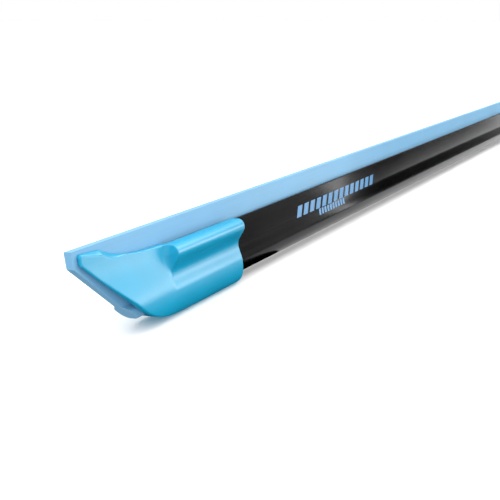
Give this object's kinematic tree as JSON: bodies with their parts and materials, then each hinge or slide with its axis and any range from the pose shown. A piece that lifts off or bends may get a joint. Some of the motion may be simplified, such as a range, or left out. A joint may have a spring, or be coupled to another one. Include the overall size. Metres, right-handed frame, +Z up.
{
  "type": "window squeegee head",
  "caption": "Window squeegee head: a black channel holds a light blue rubber blade by its bead, with a slide-on slant-tipped plastic clip over each end.",
  "frame": {"origin": "middle of the length, on the surface the clips' feet stand on, midway between the front and back finger ridges", "axes": "+X along the length towards the right clip, +Z up, the printed front face towards -Y; the blade leans back towards +Y"},
  "size_m": [0.55, 0.0168, 0.0275],
  "materials": {
    "black_anodised_aluminium": "satin anodised",
    "blue_rubber": "matte",
    "blue_plastic": "satin moulded",
    "blue_ink": "printed"
  },
  "bodies": {
    "channel": {"channel": "black_anodised_aluminium"},
    "rubber_blade": {"rubber_blade": "blue_rubber"},
    "end_clip_left": {"end_clip_left": "blue_plastic"},
    "end_clip_right": {"end_clip_right": "blue_plastic"}
  },
  "joints": [
    {"name": "rubber_slide", "type": "slide", "parent": "channel", "child": "rubber_blade", "axis": [1, 0, 0], "range_m": [-0.03, 0.03]},
    {"name": "left_clip_slide", "type": "slide", "parent": "channel", "child": "end_clip_left", "axis": [-1, 0, 0], "range_m": [0, 0.036]},
    {"name": "right_clip_slide", "type": "slide", "parent": "channel", "child": "end_clip_right", "axis": [1, 0, 0], "range_m": [0, 0.036]}
  ]
}
